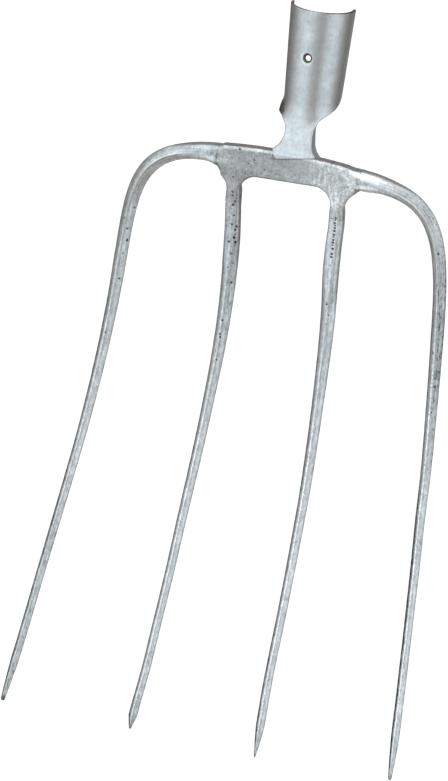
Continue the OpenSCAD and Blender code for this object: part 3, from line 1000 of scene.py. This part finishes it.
# ---------------------------------------------------------------- head
def build_head_skin():
    low = np.array([HEAD[0] - 51.5, -27.5, bridge_low[2] - 4.0])
    high = np.array([HEAD[0] + 50.5, 8.0, 1.2])
    verts, quads = skin(head_field, low, high, 0.42)
    normals = normals_of(verts, quads)
    height = verts[:, 2] + DROP
    x, _, z = to_local(verts)
    relief = forged(verts) * mix(1.0, 0.35, rise(height, 12, 14)) + pits_at(verts)
    # a shallow seam at the left shoulder, where the arch was welded on
    relief -= 0.07 * bell(x, -BAR_HALF, 0.4) * (z > -12)
    relief -= 0.05 * np.abs(fbm(verts, 2.4, 41)) * rise(-height, -14, 4)
    return new_mesh("head_skin", verts + normals * relief[:, None], quads)


def bar_tone(p, bead):
    x, y, z = to_local(p)
    height = p[:, 2] + DROP
    top, bevel = bar_top(x), front_bevel(x)
    # dark line of the left shoulder's seam
    seam = (z > -9) * (z < 7.5) * (height < 14)
    t = 0.55 * noise_of(83, z / 0.9 + 0.5, 0.5, 0.5) * bell(x, -BAR_HALF, 0.5) * seam
    t -= 0.16 * bell(x, -BAR_HALF, 0.4) * seam
    # painted highlight along the front bevels
    bevel_highlight_mask = (height < 11) * (y < -2.9) * (np.abs(x) < 41)
    t += 0.30 * bell(z, top - bevel * 0.5, bevel * 0.55) * bevel_highlight_mask
    # mottled and darker left of the middle, striated by grinding to the right
    face = (np.abs(x) < 46) * (z < top - bevel) * (height < 12)
    if bead:
        t += join_tone(x, z)
    else:
        t += face * 0.30 * rise(x, 4, 22) * rise(height, -30, 12)
    mottle = 0.3 * noise_of(91, x / 1.6, z / 1.3, 0.5) * bell(x, -18, 16)
    t += face * (mottle - 0.16 * bell(x, -14, 15))
    t += face * rise(z, -25, 9) * 0.42 * noise_of(97, x / 0.62, z / 7, 0.5) * bell(x, 24, 13)
    # painted highlight on the facet where the right arch begins
    facet = ease((z - 7.4 + 4.5 * rise(x, 36.5, 9)) / 1.2) * ease((top - 0.8 - z) / 0.9)
    t += 0.85 * rise(x, 36.2, 2.0) * facet * (y < 0) * fall(x, 48, 22)
    # scale on the lower half there
    t -= 0.16 * rise(x, 40, 5) * rise(-z, -0.4, 1.5) * (height < 12) * (z > -8)
    # bright dressed patch at the left shoulder
    t += 0.20 * bell(x, -52, 10) * bell(z, 5, 4)
    # small tick on the right shoulder's top
    return t - 0.6 * bell(x, 28.3, 0.35) * (z > top - 1.2) * (y < 3) * (height < 11)


def socket_tone(p):
    x, y, z = p[:, 0], p[:, 1], p[:, 2]
    height = z + DROP
    # painted shade inside the socket and in the ring round the nail hole, and a painted highlight on
    # the hole's rim at the lower left
    inside = (np.hypot(x, y) < barrel_radius(height) - 1.2) & (z > -60)
    nail = np.hypot(x, z + NAIL_DROP)
    near = (y < 0) * (z > -40)
    t = -0.18 * inside - 0.85 * bell(nail, NAIL_RADIUS - 0.1, 0.7) * near
    lower_left = unit(0.5 - 0.55 * (x + z + NAIL_DROP) / (nail + 0.1))
    t += 0.4 * bell(nail, NAIL_RADIUS + 1.5, 0.6) * lower_left * near
    # painted shade on the left ear's curl, which turns away from the light; scale on the mouth's
    # edge, browner to the right
    t -= 0.5 * rise(-x, 9.0, 7) * rise(height, 23, 4) * ease((43 - height) / 10) * (y > -17)
    return t - (0.28 + 0.30 * rise(x, 2, 10)) * rise(z, -0.7, 0.5)


def head_piece(name, me, mat, node, bead=False):
    p = points_of(me)
    tone = -0.9 * pit_shade(p) + bar_tone(p, bead) + socket_tone(p)
    if node == "weld_neck":      # the sliver of the bridge's face beside the foot
        tone -= 0.28 * (to_local(p)[1] > -BAR_DEPTH / 2 - 0.1) * (p[:, 2] + DROP < 8.3)
    piece(name, me, tone, mat, node)


UP, DOWN = (0, 0, 1), (0, 0, -1)
JOIN_Z, WELD_Z = NECK_HEIGHT - DROP, 6.1 - DROP      # upper and lower end of the neck weld
WELD_LEFT, WELD_RIGHT = -13.3, 15.4
LOCAL_LEFT, LOCAL_RIGHT = local_direction(-1, 0, 0), local_direction(1, 0, 0)
LOCAL_DOWN, LOCAL_UP = local_direction(0, 0, -1), local_direction(0, 0, 1)
BAR_LEFT, BAR_RIGHT = from_local(-BAR_HALF, 0, 0), from_local(BAR_HALF, 0, 0)
ROOT_TOP = from_local(0, 0, -ROOT_LEVEL)
ROOT_END = from_local(0, 0, -ROOT_LEVEL - WELD_LENGTH)


def build_socket(whole):
    me = clip_mesh(whole, [((0, 0, JOIN_Z), DOWN)], "socket_rolled")
    head_piece("socket_rolled", me, ROLLED, "socket")


def build_neck_weld(whole):
    planes = [((0, 0, JOIN_Z), UP), ((0, 0, WELD_Z), (FOOT_SLOPE, 0, -1)),
              ((WELD_RIGHT, 0, 0), (1, 0, 0)), ((WELD_LEFT, 0, 0), (-1, 0, 0))]
    me = clip_mesh(whole, planes, "weld_neck_bead")
    head_piece("weld_neck_bead", me, NECK, "weld_neck")


def build_bead(whole, node, planes):
    me = clip_mesh(whole, planes, f"{node}_bead")
    head_piece(f"{node}_bead", me, WELD, node, bead=True)


def build_shoulder_weld(whole, side, bar_end, inward):
    tine = TINES[f"outer_{side}"]
    t = arch_start(tine)
    c, d = arch_at(t, tine), arch_slope(t, tine)
    d = d / np.linalg.norm(d)
    build_bead(whole, f"weld_shoulder_{side}", [
        (bar_end, inward),
        (from_local(tine.side * c[0], 0, -c[1]), local_direction(tine.side * d[0], 0, -d[1])),
        ((0, 0, -112), DOWN)])


def build_root_weld(whole, side, sign):
    build_bead(whole, f"weld_root_{side}", [
        (ROOT_TOP, LOCAL_UP), (ROOT_END, LOCAL_DOWN),
        ((HEAD[0], 0, 0), (-sign, 0, 0)), ((HEAD[0] + sign * 45, 0, 0), (sign, 0, 0))])


def weld_block(height=20, depth=60):
    """the room taken by the neck weld, with a sloping lower face"""
    me = bpy.data.meshes.new("block")
    bm = bmesh.new()
    bmesh.ops.create_cube(bm, size=1)
    bmesh.ops.scale(bm, vec=((WELD_RIGHT - WELD_LEFT) * MM, depth * MM, height * MM),
                    verts=bm.verts)
    middle = ((WELD_RIGHT + WELD_LEFT) / 2 * MM, HEAD[1] * MM, (WELD_Z + height / 2) * MM)
    bmesh.ops.translate(bm, vec=middle, verts=bm.verts)
    for v in bm.verts:
        v.co.z += FOOT_SLOPE * v.co.x
    bm.to_mesh(me)
    bm.free()
    return me


def build_bridge(whole):
    """the skin between the shoulder and root planes, less the neck weld's block"""
    bar = clip_mesh(whole, [((0, 0, JOIN_Z), UP), (BAR_LEFT, LOCAL_LEFT),
                            (BAR_RIGHT, LOCAL_RIGHT), (ROOT_TOP, LOCAL_DOWN)], "bridge_forging")
    tool = bpy.data.objects.new("block", weld_block())
    work = bpy.data.objects.new("work", bar)
    for ob in (tool, work):
        bpy.context.scene.collection.objects.link(ob)
    mod = work.modifiers.new("cut", "BOOLEAN")
    mod.operation, mod.solver, mod.object = "DIFFERENCE", "EXACT", tool
    graph = bpy.context.evaluated_depsgraph_get()
    cut = bpy.data.meshes.new_from_object(work.evaluated_get(graph))
    for ob in (tool, work):
        bpy.data.objects.remove(ob)
    cut.name = "bridge_forging"
    bm = bmesh.new()
    bm.from_mesh(cut)
    close_up(bm)
    bm.to_mesh(cut)
    bm.free()
    head_piece("bridge_forging", cut, FORGED, "bridge")


whole = build_head_skin()
build_socket(whole)
build_neck_weld(whole)
build_shoulder_weld(whole, "left", BAR_LEFT, LOCAL_RIGHT)
build_shoulder_weld(whole, "right", BAR_RIGHT, LOCAL_LEFT)
build_root_weld(whole, "left", -1)
build_root_weld(whole, "right", 1)
build_bridge(whole)


# ---------------------------------------------------------------- stage, metres
def build_floor(half=6, gap=0.0005):
    """a pale floor just below the points"""
    bm = bmesh.new()
    bmesh.ops.create_grid(bm, x_segments=8, y_segments=8, size=half)
    bmesh.ops.translate(bm, vec=(0, 0, cad_box[0][2] - gap), verts=bm.verts)
    me = bpy.data.meshes.new("floor")
    bm.to_mesh(me)
    bm.free()
    floor = bpy.data.objects.new("floor", me)
    bpy.context.scene.collection.objects.link(floor)
    mat = bpy.data.materials.new("floor_pale")
    mat.use_nodes = True
    bsdf = mat.node_tree.nodes["Principled BSDF"].inputs
    bsdf["Base Color"].default_value = (0.93, 0.93, 0.93, 1)
    bsdf["Roughness"].default_value = 0.9
    bsdf["Emission Color"].default_value = (1, 1, 1, 1)
    bsdf["Emission Strength"].default_value = 0.42
    me.materials.append(mat)
    floor.visible_glossy = False


# light round the horizon: degrees from the front (-Y) towards the right (+X), colour
RING = [
    (-180, (0.40, 0.40, 0.40)), (-128, (0.24, 0.235, 0.215)), (-92, (0.46, 0.46, 0.45)),
    (-66, (1.00, 1.04, 1.06)), (-45, (1.30, 1.47, 1.58)), (-27, (1.38, 1.62, 1.76)),
    (-9, (1.22, 1.33, 1.39)), (10, (0.80, 0.82, 0.82)), (27, (0.62, 0.64, 0.60)),
    (52, (1.22, 1.36, 1.44)), (72, (1.32, 1.52, 1.63)), (92, (1.08, 1.16, 1.21)),
    (112, (0.56, 0.58, 0.56)), (137, (0.30, 0.30, 0.28)), (165, (0.40, 0.40, 0.39)),
    (180, (0.40, 0.40, 0.40))]
# its strength from straight down (0) to straight up (1)
HEIGHTS = [(0.0, 0.55), (0.22, 0.66), (0.42, 0.88), (0.55, 1), (0.8, 1), (1.0, 1)]


def build_world():
    world = bpy.data.worlds.new("studio")
    bpy.context.scene.world = world
    world.use_nodes = True
    tree = world.node_tree
    tree.nodes.clear()
    coords = tree.nodes.new("ShaderNodeTexCoord").outputs["Generated"]
    x, y, z = add_node(tree, "ShaderNodeSeparateXYZ", {0: coords}).outputs

    def maths(operation, a, b):
        return add_math(tree, operation, a, b)

    def smooth(value, start, end):
        return add_node(tree, "ShaderNodeMapRange",
                        {"From Min": start, "From Max": end, "Value": value},
                        interpolation_type="SMOOTHSTEP").outputs["Result"]

    def blend(factor, a, b, **settings):
        return add_node(tree, "ShaderNodeMix", {"Factor": factor, "A": a, "B": b},
                        data_type="RGBA", **settings).outputs["Result"]

    def background(colour, strength):
        return add_node(tree, "ShaderNodeBackground",
                        {"Color": colour, "Strength": strength}).outputs[0]

    def switch(factor, a, b):
        return add_node(tree, "ShaderNodeMixShader", {0: factor, 1: a, 2: b}).outputs[0]

    turn = maths("DIVIDE", maths("ARCTAN2", x, maths("MULTIPLY", y, -1.0)), 2 * pi)
    ring = add_ramp(tree, maths("ADD", turn, 0.5),
                    [((angle + 180) / 360, colour) for angle, colour in RING], "EASE")
    height = add_ramp(tree, maths("ADD", maths("MULTIPLY", z, 0.5), 0.5),
                      [(position, (value,) * 3) for position, value in HEIGHTS], "EASE")
    sky = blend(1.0, ring, height, blend_type="MULTIPLY")
    # a pale panel high at the front, and a grey ground straight below
    overhead = smooth(z, start=0.35, end=0.8)
    facing = smooth(maths("MULTIPLY", y, -1.0), start=-0.35, end=0.2)
    sky = blend(maths("MULTIPLY", overhead, facing), sky, (1.14, 1.24, 1.32, 1))
    sky = blend(smooth(z, start=-0.42, end=-0.85), sky, (0.50, 0.49, 0.475, 1))
    # diffuse rays get an even light and the camera sees plain white
    rays = tree.nodes.new("ShaderNodeLightPath").outputs
    shader = switch(rays["Is Diffuse Ray"], background(sky, strength=1.0),
                    background((1, 1, 1, 1), strength=0.62))
    shader = switch(rays["Is Camera Ray"], shader, background((1, 1, 1, 1), strength=1.0))
    add_node(tree, "ShaderNodeOutputWorld", {"Surface": shader})


def build_camera():
    turn, raised, roll = radians(19), radians(18), radians(6.653)
    distance, view_height = 3.5, 0.476800977      # view_height is what is seen at the target
    target = Vector(HEAD * MM) + Vector((0, 0, -0.170))
    right = Vector((cos(turn), sin(turn), 0))
    up = Vector((-sin(turn) * sin(raised), cos(turn) * sin(raised), cos(raised)))
    back = Vector((sin(turn) * cos(raised), -cos(turn) * cos(raised), sin(raised)))
    x_axis = right * cos(roll) + up * sin(roll)
    y_axis = up * cos(roll) - right * sin(roll)
    data = bpy.data.cameras.new("cam")
    cam = bpy.data.objects.new("cam", data)
    bpy.context.scene.collection.objects.link(cam)
    columns = (x_axis, y_axis, back, target + back * distance)
    rows = [tuple(c[i] for c in columns) for i in range(3)]
    cam.matrix_world = Matrix((*rows, (0, 0, 0, 1)))
    data.sensor_fit = "VERTICAL"
    data.sensor_height = 36
    data.lens = 36 * distance / view_height
    data.shift_x, data.shift_y = -0.0429743918, 0.055166453
    data.clip_start, data.clip_end = 0.1, 50
    bpy.context.scene.camera = cam


build_floor()
build_world()
build_camera()
bpy.context.scene.view_settings.view_transform = "Standard"
